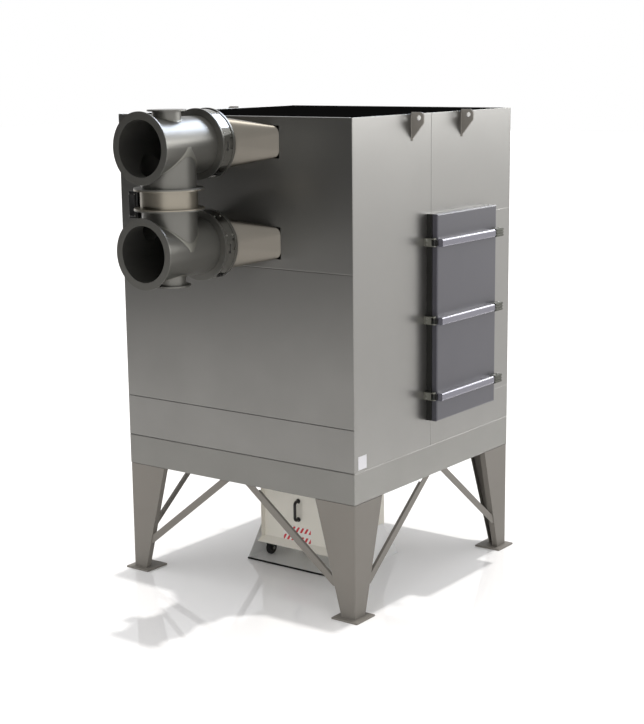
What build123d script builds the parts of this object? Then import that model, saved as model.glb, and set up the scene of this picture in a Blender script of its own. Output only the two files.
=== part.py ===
from build123d import *
import os
from math import atan2, cos, degrees, hypot, radians, sin

# A free-standing dust extractor: a square sheet-steel cabinet on four folded legs, two stacked inlet
# ducts at the front, a barred filter door at the side and a rolling dust bin under the hopper.
# Everything is in millimetres. Lengths are laid out about the cabinet's middle at floor level, and
# each piece is moved to the part's own origin when it is written.

# Cabinet
cabinet_width = 2000
cabinet_depth = 2000
skirt_bottom = 800
skirt_height = 218
cabinet_top = 3320
panel_sheet = 3
panel_return = 30
panel_bend = 4
lower_seam = 1310
upper_seam = 2326
side_seam = -75

# Base frame
beam_sheet = 6
beam_flange = 50
beam_bend = 7
beam_gap = 1

# Roof
deck_sheet = 3
deck_drop = 3
deck_fit = 0.3

# Hopper
hopper_sheet = 3
hopper_fit = 0.3
outlet_size = 560
outlet_length = 30
mitre_gap = 0.3

# Legs and feet
leg_sheet = 6
leg_top_width = 322
leg_foot_width = 115
leg_lip = 45
leg_bend = 8
foot_size = 210
foot_overhang = 43
foot_sheet = 12

# Braces
brace_tab_width = 50
brace_fin_depth = 22
brace_sheet = 5
brace_foot_height = 240
brace_foot_inset = 178
brace_head_height = 865
brace_head_reach = 32
brace_tab = 40
notch_room = 2

# Lifting lugs
lug_spacing = 630
lug_sheet = 12
lug_reach = 94
lug_rise = 12
lug_nose = 70
lug_root = 182
lug_hole_radius = 17
lug_hole_inset = 36
lug_corner = 25

# Ducts
duct_bore = 360
duct_wall = 3
duct_spacing = 660
duct_drop = 170
duct_flange = 455
duct_flange_sheet = 10
duct_front = -1864
branch_y = -1606
branch_bore = 350
branch_flange = 450
branch_flange_sheet = 8
coupling_length = 127
coupling_diameter = 370
spigot_diameter = 185
spigot_flange = 250
spigot_rise = 44
spigot_sheet = 6
cap_sheet = 4
collar_front = -1330
collar_length = 120
collar_diameter = 460
collar_band_drop = 6
collar_rim = 14
collar_wall = 4
collar_fit = 0.3
mouth_width = 840
mouth_height = 212
mouth_radius = 55
mouth_rise = 7
mouth_fit = 0.4
mouth_entry = 12
cone_step = 0.5

# Damper drive on the coupling
drive_width = 82
drive_depth = 110
drive_height = 172
drive_drop = 47
drive_corner = 12
drive_fit = 0.3
drive_clear = 1
drive_foot_depth = 60
drive_foot_height = 44
drive_foot_drop = 30

# Door
door_near = -130
door_width = 790
door_bottom = 1210
door_height = 1435
door_thickness = 40
door_sheet = 3
door_lip = 25
frame_depth = 42
frame_width = 50
door_gap = 5
leaf_round = 9
bar_depth = 50
bar_height = 54
bar_round = 12
bar_heights = (1388, 1918, 2454)
bar_overhang = 10
clamp_length = 104
clamp_overhang = 14
clamp_height = 57
clamp_scallop = 7
clamp_skin = 1.5
clamp_ridge = 3
ridge_width = 8
hinge_pin_radius = 8
hinge_fit = 0.05
hinge_inset = 13
hinge_gap = 18
knuckle_radius = 12
knuckle_play = 1
knuckle_room = 18
neck_half_width = 8
bracket_arm = 6
pin_head = 4
bar_wall = 4
frame_sheet = 3

# Dust bin
bin_width = 680
bin_depth = 560
bin_flare = 38
bin_flare_height = 48
bin_bottom = 130
bin_top = 750
bin_sheet = 3
bin_floor_sheet = 4
handle_height = 162
handle_middle = 421
handle_reach = 44
handle_radius = 11
handle_x = -16

# Casters
caster_x = 338
caster_y = 228
caster_trail = 26
wheel_radius = 50
wheel_width = 30
wheel_lift = 0.3
wheel_side_gap = 5
wheel_groove = 3
tread_flat = 6
tread_shoulder = 4
axle_radius = 6
axle_fit = 0.05
fork_sheet = 4
fork_width = 34
crown_radius = 26
crown_sheet = 5
crown_gap = 6
kingpin_radius = 8
kingpin_fit = 0.05
boss_radius = 28
boss_play = 1
pad_width = 90
pad_sheet = 4

# Docking tray
tray_width = 858
tray_depth = 750
tray_sheet = 6
guide_sheet = 3
guide_height = 285
guide_lean = 207

# Worked-out places
half_width = cabinet_width / 2
half_depth = cabinet_depth / 2
skirt_top = skirt_bottom + skirt_height
upper_duct_height = cabinet_top - duct_drop
lower_duct_height = upper_duct_height - duct_spacing
duct_inner = duct_bore / 2
duct_outer = duct_inner + duct_wall
branch_inner = branch_bore / 2
branch_outer = branch_inner + duct_wall
collar_back = collar_front + collar_length
run_back = collar_back - collar_rim
coupling_middle = (upper_duct_height + lower_duct_height) / 2
spigot_face = duct_outer + spigot_rise
door_far = door_near + door_width
door_top = door_bottom + door_height
door_back = half_width + frame_depth + door_gap
door_face = door_back + door_thickness
bar_face = door_face + bar_depth
bar_near = door_near - bar_overhang
clamp_near = door_far + clamp_overhang - clamp_length
frame_near = door_near + frame_width
frame_far = door_far - frame_width
frame_low = door_bottom + frame_width
frame_high = door_top - frame_width
hinge_x = door_face - hinge_inset
hinge_y = door_near - hinge_gap
wheel_middle = tray_sheet + wheel_lift + wheel_radius
crown_bottom = wheel_middle + wheel_radius + crown_gap
crown_top = crown_bottom + crown_sheet
pad_bottom = bin_bottom - pad_sheet

# The origin is at floor level under the middle of the whole outline.
reach_right = bar_face + clamp_skin + clamp_ridge
reach_left = half_width + lug_reach
reach_front = -duct_front
reach_back = half_depth + foot_overhang
origin_x = (reach_right - reach_left) / 2
origin_y = (reach_back - reach_front) / 2


def block(x0, x1, y0, y1, z0, z1):
    """A plain box between two corners."""
    middle = Pos((x0 + x1) / 2, (y0 + y1) / 2, (z0 + z1) / 2)
    return middle * Box(x1 - x0, y1 - y0, z1 - z0)


def tube(outer, inner, length):
    """A tube standing on the XY plane."""
    return extrude(Circle(outer) - Circle(inner), length)


def along_y(shape, y, z=0, x=0):
    """Lays a shape that stands along Z down along +Y, starting at y."""
    return Pos(x, y, z) * Rot(-90, 0, 0) * shape


def folded_channel(span, length, sheet, flange, bend):
    """A sheet with both long edges folded inwards: span along X, folds along +Y, length along Z."""
    outer = Pos(0, flange / 2) * Rectangle(span, flange)
    outer = fillet(outer.vertices().group_by(Axis.Y)[0], bend)
    inner = Pos(0, sheet + flange / 2) * Rectangle(span - 2 * sheet, flange)
    inner = fillet(inner.vertices().group_by(Axis.Y)[0], bend - sheet)
    return extrude(outer - inner, length)


def together(shapes):
    """Separate solids as one piece."""
    return Compound([solid for shape in shapes for solid in shape.solids()])


def cross_panel(bottom, top):
    """A front wall panel: full width, folded at its top and bottom edges."""
    panel = folded_channel(top - bottom, cabinet_width, panel_sheet, panel_return, panel_bend)
    panel = Pos(half_width, -half_depth, (bottom + top) / 2) * Rot(0, -90, 0) * panel
    for side in (-1, 1):
        inner = side * (half_width - panel_return - beam_gap)
        outer = side * (half_width + 1)
        room = block(
            min(inner, outer), max(inner, outer),
            -half_depth + panel_sheet, -half_depth + 2 * panel_return,
            bottom - 1, top + 1,
        )
        panel -= room
    return panel


def upright_panel(near, far, bottom, top):
    """A panel of the right-hand wall, folded at its two upright edges."""
    panel = folded_channel(far - near, top - bottom, panel_sheet, panel_return, panel_bend)
    return Pos(half_width, (near + far) / 2, bottom) * Rot(0, 0, 90) * panel


def front_panels():
    """Three front panels; the top one is cut for the two duct mouths."""
    upper = cross_panel(upper_seam, cabinet_top)
    for height in (upper_duct_height, lower_duct_height):
        middle = height + mouth_rise
        upper -= block(
            -mouth_width / 2 - mouth_fit, mouth_width / 2 + mouth_fit,
            -half_depth - 1, -half_depth + panel_sheet + 1,
            middle - mouth_height / 2 - mouth_fit, middle + mouth_height / 2 + mouth_fit,
        )
    return {
        "front_panel_lower": cross_panel(skirt_top, lower_seam),
        "front_panel_middle": cross_panel(lower_seam, upper_seam),
        "front_panel_upper": upper,
    }


def back_panels():
    """Three plain panels at the same heights as the front ones."""
    return {
        "back_panel_lower": Rot(0, 0, 180) * cross_panel(skirt_top, lower_seam),
        "back_panel_middle": Rot(0, 0, 180) * cross_panel(lower_seam, upper_seam),
        "back_panel_upper": Rot(0, 0, 180) * cross_panel(upper_seam, cabinet_top),
    }


def side_panels():
    """The door wall, split round its doorway, and the plain wall opposite."""
    edge = half_depth - panel_sheet
    left_front = mirror(upright_panel(-edge, side_seam, skirt_top, cabinet_top), Plane.YZ)
    left_rear = mirror(upright_panel(side_seam, edge, skirt_top, cabinet_top), Plane.YZ)
    return {
        "door_wall_front": upright_panel(-edge, side_seam, skirt_top, cabinet_top),
        "door_wall_below": upright_panel(side_seam, edge, skirt_top, frame_low),
        "door_wall_above": upright_panel(side_seam, edge, frame_high, cabinet_top),
        "door_wall_beside": upright_panel(frame_far, edge, frame_low, frame_high),
        "left_wall_front": left_front,
        "left_wall_rear": left_rear,
    }


def roof_deck():
    """The flat deck between the top edges of the walls."""
    top = cabinet_top - deck_drop
    across = half_width - panel_sheet
    along = half_depth - panel_return
    deck = block(-across, across, -along, along, top - deck_sheet, top)
    notch = block(
        across - panel_return, across + 1,
        side_seam - panel_bend - deck_fit, side_seam + panel_bend + deck_fit,
        top - deck_sheet - 1, top + 1,
    )
    return deck - notch - mirror(notch, Plane.YZ)


def one_brace(half_span, half_across, room=0):
    """The left half of an inverted V behind the front leg: an angle with a flat tab at each end."""
    foot_reach = half_span - brace_foot_inset
    run = foot_reach - brace_head_reach
    rise = brace_head_height - brace_foot_height
    length = hypot(run, rise)
    slope = degrees(atan2(rise, run))
    half = brace_tab_width / 2
    tab = Pos(length / 2, 0) * SlotCenterToCenter(length, 2 * (half + room))
    flat = Rot(90, 0, 0) * extrude(tab, -(brace_sheet + room))
    clear_head = (skirt_bottom - notch_room - brace_foot_height - half) / sin(radians(slope))
    fin = block(
        brace_tab, clear_head - half,
        0, brace_fin_depth,
        half - brace_sheet, half,
    )
    shape = flat if room else flat + fin
    place = Pos(-foot_reach, -half_across + leg_sheet, brace_foot_height)
    return place * Rot(0, -slope, 0) * shape


def front_braces(room=0):
    """Both braces of the front wall."""
    left = one_brace(half_width, half_depth, room)
    return [left, mirror(left, Plane.YZ)]


def side_braces(turn, room=0):
    """Both braces of a side wall: turn is 90 for the right wall and -90 for the left one."""
    left = one_brace(half_depth, half_width, room)
    return [Rot(0, 0, turn) * brace for brace in (left, mirror(left, Plane.YZ))]


def braces():
    """Braces on the front wall and both side walls; the back stays open for the bin."""
    return together(front_braces() + side_braces(90) + side_braces(-90))


def base_beams():
    """Four skirt beams, the upper and lower edges folded inwards."""
    middle = skirt_bottom + skirt_height / 2
    cross = folded_channel(skirt_height, cabinet_width, beam_sheet, beam_flange, beam_bend)
    cross = Pos(half_width, -half_depth, middle) * Rot(0, -90, 0) * cross
    for side in (-1, 1):
        inner = side * (half_width - beam_flange - beam_gap)
        outer = side * (half_width + 1)
        cross -= block(
            min(inner, outer), max(inner, outer),
            -half_depth + beam_sheet, -half_depth + 2 * beam_flange,
            skirt_bottom - 1, skirt_top + 1,
        )
    length = cabinet_depth - 2 * beam_sheet
    along = folded_channel(skirt_height, length, beam_sheet, beam_flange, beam_bend)
    along = Rot(0, 0, 90) * Rot(0, -90, 0) * Pos(0, 0, -length) * along
    along = Pos(half_width, -half_depth + beam_sheet, middle) * along
    right = along
    for notch in side_braces(90, notch_room):
        right -= notch
    front = cross
    for notch in front_braces(notch_room):
        front -= notch
    return {
        "front_beam": front,
        "back_beam": Rot(0, 0, 180) * cross,
        "right_beam": right,
        "left_beam": mirror(right, Plane.YZ),
    }


def one_leg():
    """The front left leg: two tapered webs folded from one sheet, their free edges turned in."""
    height = skirt_bottom - foot_sheet
    web = Polyline((0, 0), (leg_foot_width, 0), (leg_top_width, height), (0, height), close=True)
    web = make_face(web)
    slope = (leg_top_width - leg_foot_width) / height
    edge = leg_sheet * hypot(1, slope)
    lip = Polyline(
        (leg_foot_width - edge, 0), (leg_foot_width, 0),
        (leg_top_width, height), (leg_top_width - edge, height),
        close=True,
    )
    lip = make_face(lip)
    front = extrude(web, leg_sheet) + extrude(lip, leg_lip)
    front = Rot(90, 0, 0) * mirror(front, Plane.XY)
    front = Pos(-half_width, -half_depth, foot_sheet) * front
    side = mirror(front, Plane((-half_width, -half_depth, 0), x_dir=(1, 1, 0), z_dir=(1, -1, 0)))
    leg = front + side
    corner = leg.edges().filter_by(Axis.Z).sort_by(SortBy.LENGTH)[-4:]
    corner = corner.sort_by(lambda line: line.center().X + line.center().Y)[0]
    return fillet(corner, leg_bend)


def legs():
    """Four legs, notched where the brace tabs pass behind their webs."""
    both = one_leg()
    for notch in front_braces(notch_room) + side_braces(-90, notch_room):
        both -= notch
    front_right = mirror(both, Plane.YZ)
    side_only = one_leg()
    for notch in side_braces(-90, notch_room):
        side_only -= notch
    back_left = mirror(side_only, Plane.XZ)
    back_right = mirror(back_left, Plane.YZ)
    return together([both, front_right, back_left, back_right])


def foot_plates():
    """Four square plates under the legs, standing a little outside them."""
    outer_x = half_width + foot_overhang
    outer_y = half_depth + foot_overhang
    plate = block(
        outer_x - foot_size, outer_x, outer_y - foot_size, outer_y, 0, foot_sheet
    )
    across = mirror(plate, Plane.YZ)
    return together([plate, across, mirror(plate, Plane.XZ), mirror(across, Plane.XZ)])


def lifting_lugs():
    """Drilled plates standing out of the top of both side walls."""
    outline = Polyline(
        (0, lug_rise), (lug_reach, lug_rise),
        (lug_reach, lug_rise - lug_nose), (0, lug_rise - lug_root),
        close=True,
    )
    plate = make_face(outline)
    plate = fillet(plate.vertices().sort_by(Axis.X)[-2:], lug_corner)
    hole = Pos(lug_reach - lug_hole_inset, lug_rise - lug_hole_inset) * Circle(lug_hole_radius)
    plate = extrude(plate - hole, lug_sheet / 2, both=True)
    plate = Pos(half_width, 0, cabinet_top) * Rot(90, 0, 0) * plate
    right = [Pos(0, side * lug_spacing / 2, 0) * plate for side in (-1, 1)]
    left = [mirror(lug, Plane.YZ) for lug in right]
    return together(right + left)


def hopper():
    """Four sloping sheets under the cabinet, down to a square outlet."""
    inner_x = half_width - panel_return - hopper_fit
    inner_y = half_depth - panel_return - hopper_fit
    outlet = outlet_size / 2
    floor = skirt_bottom
    rim = lower_seam

    def bowl(offset, low, high):
        upper = Pos(0, 0, high) * Rectangle(2 * (inner_x - offset), 2 * (inner_y - offset))
        lower = Pos(0, 0, low) * Rectangle(2 * (outlet - offset), 2 * (outlet - offset))
        return loft([lower, upper], ruled=True)

    shell = bowl(0, floor, rim) - bowl(hopper_sheet, floor, rim)
    span = inner_x + inner_y
    cut = Box(span * 2, mitre_gap, 4 * span, align=(Align.MIN, Align.CENTER, Align.CENTER))
    turn = degrees(atan2(inner_y - outlet, inner_x - outlet))
    cut = Pos(outlet, outlet) * Rot(0, 0, turn) * Pos(-2 * hopper_sheet, 0) * cut
    for near in (cut, mirror(cut, Plane.XZ)):
        shell = shell - near - mirror(near, Plane.YZ)
    collar = block(-outlet, outlet, -outlet, outlet, floor - outlet_length, floor)
    within = outlet - hopper_sheet
    collar -= block(-within, within, -within, within, floor - outlet_length - 1, floor + 1)
    return {"hopper_sheets": together([shell]), "hopper_outlet": collar}


def duct_run():
    """The straight length of a tee with its spigot, open below for the branch, its axis at floor level."""
    low = (Align.CENTER, Align.CENTER, Align.MIN)
    high = (Align.CENTER, Align.CENTER, Align.MAX)
    run = along_y(Cylinder(duct_outer, run_back - duct_front, align=low), duct_front)
    rim = along_y(Cylinder(duct_flange / 2, duct_flange_sheet, align=low), duct_front)
    neck = Pos(0, branch_y, 0) * Cylinder(spigot_diameter / 2, spigot_face, align=low)
    lip = Pos(0, branch_y, spigot_face) * Cylinder(spigot_flange / 2, spigot_sheet, align=high)
    bore = along_y(Cylinder(duct_inner, run_back - duct_front + 2, align=low), duct_front - 1)
    drop = Pos(0, branch_y, 0) * Cylinder(branch_inner, duct_outer + 1, align=high)
    eye = Pos(0, branch_y, 0) * Cylinder(spigot_diameter / 2 - duct_wall, spigot_face + 1, align=low)
    return run + rim + neck + lip - bore - drop - eye


def duct_branch():
    """The branch of a tee, saddle-cut to fit the run, pointing down from an axis at floor level."""
    low = (Align.CENTER, Align.CENTER, Align.MIN)
    high = (Align.CENTER, Align.CENTER, Align.MAX)
    reach = upper_duct_height - coupling_middle - coupling_length / 2
    branch = Pos(0, branch_y, 0) * Cylinder(branch_outer, reach, align=high)
    disc = Pos(0, branch_y, -reach) * Cylinder(branch_flange / 2, branch_flange_sheet, align=low)
    drop = Pos(0, branch_y, 1) * Cylinder(branch_inner, reach + 2, align=high)
    saddle = along_y(Cylinder(duct_outer, run_back - duct_front, align=low), duct_front)
    return branch + disc - drop - saddle


def duct_coupling():
    """The flanged length between the two tees."""
    half = coupling_length / 2
    body = tube(coupling_diameter / 2, branch_inner, coupling_length)
    disc = tube(branch_flange / 2, branch_inner, branch_flange_sheet)
    shape = body + disc + Pos(0, 0, coupling_length - branch_flange_sheet) * disc
    return Pos(0, branch_y, coupling_middle - half) * shape


def spigot_caps():
    """Blank discs on the two small spigots."""
    cap = Cylinder(spigot_flange / 2, cap_sheet, align=(Align.CENTER, Align.CENTER, Align.MIN))
    upper = Pos(0, branch_y, upper_duct_height + spigot_face) * cap
    lower = Pos(0, branch_y, lower_duct_height - spigot_face - cap_sheet) * cap
    return together([upper, lower])


def collar_rings():
    """The front rings of the two collars, round the duct runs."""
    ring = tube(collar_diameter / 2, duct_outer + collar_fit, collar_rim)
    return together([
        along_y(ring, collar_front, lower_duct_height),
        along_y(ring, collar_front, upper_duct_height),
    ])


def collar_bands():
    """The thin drums of the two collars, between the front rings and the transitions' rims."""
    outer = collar_diameter / 2 - collar_band_drop
    band = tube(outer, outer - collar_wall, collar_length - 2 * collar_rim)
    return together([
        along_y(band, collar_front + collar_rim, lower_duct_height),
        along_y(band, collar_front + collar_rim, upper_duct_height),
    ])


def round_to_flat(wall):
    """Round to rounded rectangle and on through the wall; wall is taken off all round."""
    round_size = 2 * (duct_outer + cone_step - wall)
    first = Plane((0, collar_back, 0), x_dir=(1, 0, 0), z_dir=(0, 1, 0))
    last = Plane((0, -half_depth, mouth_rise), x_dir=(1, 0, 0), z_dir=(0, 1, 0))
    circle = first * RectangleRounded(round_size, round_size, round_size / 2 - 0.5)
    mouth = RectangleRounded(mouth_width - 2 * wall, mouth_height - 2 * wall, mouth_radius - wall)
    cone = loft([circle, last * mouth])
    sleeve = extrude(last * mouth, mouth_entry + (1 if wall else 0))
    return cone + sleeve


def transition_rims():
    """The round rims on which the transitions begin, behind the collar drums."""
    rim = tube(collar_diameter / 2, duct_inner, collar_rim)
    return together([
        along_y(rim, run_back, lower_duct_height),
        along_y(rim, run_back, upper_duct_height),
    ])


def transition(height):
    """A round-to-flat inlet of the cabinet."""
    return Pos(0, 0, height) * (round_to_flat(0) - round_to_flat(duct_wall))


def damper_drive():
    """The black drive box on the coupling and its foot."""
    foot_face = coupling_diameter / 2 + drive_fit
    inner = branch_flange / 2 + drive_clear
    middle = coupling_middle - drive_drop
    box = block(
        -inner - drive_width, -inner,
        branch_y - drive_depth / 2, branch_y + drive_depth / 2,
        middle - drive_height / 2, middle + drive_height / 2,
    )
    box = fillet(box.edges().filter_by(Axis.Z), drive_corner)
    foot_middle = coupling_middle - drive_foot_drop
    foot = block(
        -inner, -foot_face,
        branch_y - drive_foot_depth / 2, branch_y + drive_foot_depth / 2,
        foot_middle - drive_foot_height / 2, foot_middle + drive_foot_height / 2,
    )
    return box + foot


def door_frame():
    """The frame that the door closes on: four folded bars round the doorway, open towards the wall."""
    sides = [
        (door_near, door_far, door_bottom, frame_low - mitre_gap),
        (door_near, door_far, frame_high + mitre_gap, door_top),
        (door_near, frame_near, frame_low, frame_high),
        (frame_far, door_far, frame_low, frame_high),
    ]
    front = half_width + frame_depth
    bars = []
    for near, far, low, high in sides:
        bar = block(half_width, front, near, far, low, high)
        bar -= block(
            half_width - 1, front - frame_sheet,
            near + frame_sheet, far - frame_sheet,
            low + frame_sheet, high - frame_sheet,
        )
        bars.append(bar)
    return together(bars)


def door_leaf():
    """A flat pan, open at the back, with a turned lip all round."""
    leaf = block(door_back, door_face, door_near, door_far, door_bottom, door_top)
    leaf = fillet(leaf.faces().sort_by(Axis.X)[-1].edges(), leaf_round)
    leaf -= block(
        door_back + door_sheet, door_face - door_sheet,
        door_near + door_sheet, door_far - door_sheet,
        door_bottom + door_sheet, door_top - door_sheet,
    )
    leaf -= block(
        door_back - 1, door_back + door_sheet + 1,
        door_near + door_lip, door_far - door_lip,
        door_bottom + door_lip, door_top - door_lip,
    )
    return leaf


def bar_section(wall):
    """A bar's section with its outer edges rounded; wall is taken off all round."""
    outline = Rectangle(bar_depth - 2 * wall, bar_height - 2 * wall)
    return fillet(outline.vertices().group_by(Axis.X)[-1], bar_round - wall)


def door_bars():
    """Three rounded tubes across the door, closed at their near ends."""
    length = clamp_near - bar_near
    tube_bar = extrude(bar_section(0), length)
    tube_bar -= Pos(0, 0, bar_wall) * extrude(bar_section(bar_wall), length)
    middle = door_face + bar_depth / 2
    return together([along_y(tube_bar, bar_near, height, middle) for height in bar_heights])


def bar_clamps():
    """Ridged clamp heads on the far ends of the bars, scalloped at their ends."""
    far = clamp_near + clamp_length
    heads = []
    for height in bar_heights:
        head = block(
            door_face + clamp_skin, bar_face + clamp_skin, clamp_near, far,
            height - clamp_height / 2, height + clamp_height / 2,
        )
        for step in (-1, 0, 1):
            ridge = height + step * clamp_height / 3
            head += block(
                bar_face + clamp_skin, bar_face + clamp_skin + clamp_ridge,
                clamp_near + ridge_width, far,
                ridge - ridge_width / 2, ridge + ridge_width / 2,
            )
        for side in (-1, 1):
            scallop = Cylinder(clamp_scallop, 4 * bar_depth, rotation=(0, 90, 0))
            head -= Pos(bar_face, far, height + side * clamp_height / 6) * scallop
        heads.append(head)
    return together(heads)


def hinge_knuckles():
    """The door's half of each hinge: a round eye and a neck onto the bar's near end."""
    reach = bar_height / 2 - bracket_arm - knuckle_play
    knuckles = []
    for height in bar_heights:
        eye = Pos(hinge_x, hinge_y, height) * Cylinder(knuckle_radius, 2 * reach)
        neck = block(
            hinge_x, door_face + hinge_inset, hinge_y - neck_half_width, bar_near,
            height - reach, height + reach,
        )
        hole = Pos(hinge_x, hinge_y, height) * Cylinder(hinge_pin_radius + hinge_fit, bar_height)
        knuckles.append(eye + neck - hole)
    return together(knuckles)


def hinge_brackets():
    """The wall's half of each hinge: a block beside the frame whose two arms hold the pin."""
    frame_face = half_width + frame_depth
    brackets = []
    for height in bar_heights:
        low = height - bar_height / 2
        high = height + bar_height / 2
        near = hinge_y - knuckle_radius
        bracket = block(half_width, frame_face, near, door_near, low, high)
        bracket += block(frame_face, hinge_x, near, hinge_y + knuckle_radius, low, high)
        bracket += Pos(hinge_x, hinge_y, height) * Cylinder(knuckle_radius, bar_height)
        bracket -= block(
            hinge_x - knuckle_room, hinge_x + 2 * knuckle_radius,
            hinge_y - 2 * knuckle_radius, hinge_y + 2 * knuckle_radius,
            low + bracket_arm, high - bracket_arm,
        )
        bracket -= Pos(hinge_x, hinge_y, height) * Cylinder(hinge_pin_radius + hinge_fit, 2 * bar_height)
        brackets.append(bracket)
    return together(brackets)


def hinge_pins():
    """Headed pins through the bracket arms and the knuckles."""
    low = (Align.CENTER, Align.CENTER, Align.MIN)
    pins = []
    for height in bar_heights:
        foot = Pos(hinge_x, hinge_y, height - bar_height / 2)
        pin = foot * Cylinder(hinge_pin_radius, bar_height, align=low)
        top = Pos(hinge_x, hinge_y, height + bar_height / 2)
        pins.append(pin + top * Cylinder(knuckle_radius, pin_head, align=low))
    return together(pins)


def bin_wall(length, half_span, flare):
    """One wall of the bin: flat above and flared outwards at its foot, its length along X."""
    low = bin_bottom + bin_floor_sheet
    bend = bin_bottom + bin_flare_height
    run = hypot(flare, bend - low)
    level = bin_sheet * run / (bend - low)
    outline = Polyline(
        (half_span + flare, low), (half_span, bend), (half_span, bin_top),
        (half_span - bin_sheet, bin_top), (half_span - bin_sheet, bend),
        (half_span + flare - level, low),
        close=True,
    )
    wall = extrude(make_face(outline), length / 2, both=True)
    return Rot(0, 0, -90) * Rot(90, 0, 0) * wall


def bin_sheets():
    """Four folded bin walls, mitred at the corners."""
    span = bin_width + bin_depth
    flare_x = bin_width / 2 + bin_flare
    flare_y = bin_depth / 2 + bin_flare
    front = bin_wall(2 * flare_x, bin_depth / 2, bin_flare)
    side = Rot(0, 0, 90) * bin_wall(2 * flare_y, bin_width / 2, bin_flare)
    inset = (bin_width - bin_depth) / 2
    cutter = Rot(0, 0, 45) * Box(4 * span, 4 * span, 4 * span)
    reach = 2 * span * 2 ** 0.5
    keep_front = Pos(0, inset - mitre_gap - reach, 0) * cutter
    keep_side = Pos(reach - inset + mitre_gap, 0, 0) * cutter
    corner_front = front & keep_front
    corner_side = side & keep_side
    return together([
        corner_front, mirror(corner_front, Plane.XZ),
        corner_side, mirror(corner_side, Plane.YZ),
    ])


def bin_floor():
    """The bin's floor with the four caster pads and bosses under it."""
    half_x = bin_width / 2 + bin_flare
    half_y = bin_depth / 2 + bin_flare
    floor = block(-half_x, half_x, -half_y, half_y, bin_bottom, bin_bottom + bin_floor_sheet)
    boss_low = crown_top + boss_play
    low = (Align.CENTER, Align.CENTER, Align.MIN)
    for x in (-caster_x, caster_x):
        for y in (-caster_y, caster_y):
            pad_edge = half_x if x > 0 else -half_x
            outer = min(abs(x) + pad_width / 2, abs(pad_edge))
            side = 1 if x > 0 else -1
            edges = sorted((side * outer, side * (abs(x) - pad_width / 2)))
            floor += block(edges[0], edges[1], y - pad_width / 2, y + pad_width / 2, pad_bottom, bin_bottom)
            boss = Cylinder(boss_radius, bin_bottom - boss_low, align=low)
            floor += Pos(x, y, boss_low) * boss
            hole = Cylinder(kingpin_radius + kingpin_fit, pad_bottom - boss_low, align=low)
            floor -= Pos(x, y, boss_low) * hole
    return floor


def bin_handle():
    """An upright bow handle on the bin's front wall."""
    face = -bin_depth / 2
    grip = face - handle_reach
    low = handle_middle - handle_height / 2 + handle_radius
    high = handle_middle + handle_height / 2 - handle_radius
    path = FilletPolyline(
        (0, face, high), (0, grip, high), (0, grip, low), (0, face, low),
        radius=2 * handle_radius,
    )
    section = Plane((0, face, high), x_dir=(1, 0, 0), z_dir=(0, -1, 0)) * Circle(handle_radius)
    return Pos(handle_x, 0, 0) * sweep(section, path=path)


def caster_places():
    """Names and places of the four casters."""
    names = {"front_left": (-1, -1), "front_right": (1, -1), "rear_left": (-1, 1), "rear_right": (1, 1)}
    return {name: (x * caster_x, y * caster_y) for name, (x, y) in names.items()}


def caster_fork():
    """Crown, kingpin, two cheeks and the axle, about the kingpin's line at floor level."""
    crown = Pos(0, 0, crown_bottom) * Cylinder(
        crown_radius, crown_sheet, align=(Align.CENTER, Align.CENTER, Align.MIN)
    )
    pin_length = pad_bottom - boss_play - crown_top
    pin = Pos(0, 0, crown_top) * Cylinder(
        kingpin_radius, pin_length, align=(Align.CENTER, Align.CENTER, Align.MIN)
    )
    inner = wheel_width / 2 + wheel_side_gap
    outer = inner + fork_sheet
    bridge = block(-outer, outer, -fork_width / 2, fork_width / 2, crown_bottom, crown_top)
    fork = crown + pin + bridge
    outline = make_hull(
        (
            Pos(0, crown_bottom + crown_sheet / 2) * Rectangle(fork_width, crown_sheet)
            + Pos(caster_trail, wheel_middle) * Circle(fork_width / 2.6)
        ).edges()
    )
    cheek = extrude(outline, fork_sheet)
    cheek = Rot(0, 0, 90) * Rot(90, 0, 0) * cheek
    fork += Pos(inner, 0, 0) * cheek
    fork += Pos(-outer, 0, 0) * cheek
    axle = Pos(0, caster_trail, wheel_middle) * Rot(0, 90, 0) * Cylinder(axle_radius, 2 * outer)
    return fork + axle


def caster_wheel():
    """A tyred wheel with sunk sides, about the kingpin's line at floor level."""
    half = wheel_width / 2
    web = half - wheel_groove
    rim = wheel_radius * 0.72
    hub = axle_radius * 2.2
    bore = axle_radius + axle_fit
    outline = Polyline(
        (bore, half), (hub, half), (hub, web), (rim, web), (rim, half),
        (wheel_radius - tread_shoulder, half), (wheel_radius, half - tread_flat),
        (wheel_radius, tread_flat - half), (wheel_radius - tread_shoulder, -half),
        (rim, -half), (rim, -web), (hub, -web), (hub, -half), (bore, -half),
        close=True,
    )
    wheel = revolve(Plane.XZ * make_face(outline), Axis.Z)
    return Pos(0, caster_trail, wheel_middle) * Rot(0, 90, 0) * wheel


def docking_tray():
    """The floor tray that the bin rolls on."""
    half_x = tray_width / 2 - guide_sheet
    half_y = tray_depth / 2
    return block(-half_x, half_x, -half_y, half_y, 0, tray_sheet)


def tray_guides():
    """Upright side plates of the tray with leaning ends."""
    half_y = tray_depth / 2
    outline = Polyline(
        (-half_y, 0), (half_y, 0), (half_y - guide_lean, guide_height),
        (guide_lean - half_y, guide_height),
        close=True,
    )
    plate = extrude(make_face(outline), guide_sheet)
    plate = Pos(tray_width / 2 - guide_sheet, 0, 0) * Rot(0, 0, 90) * Rot(90, 0, 0) * plate
    return together([plate, mirror(plate, Plane.YZ)])


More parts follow.
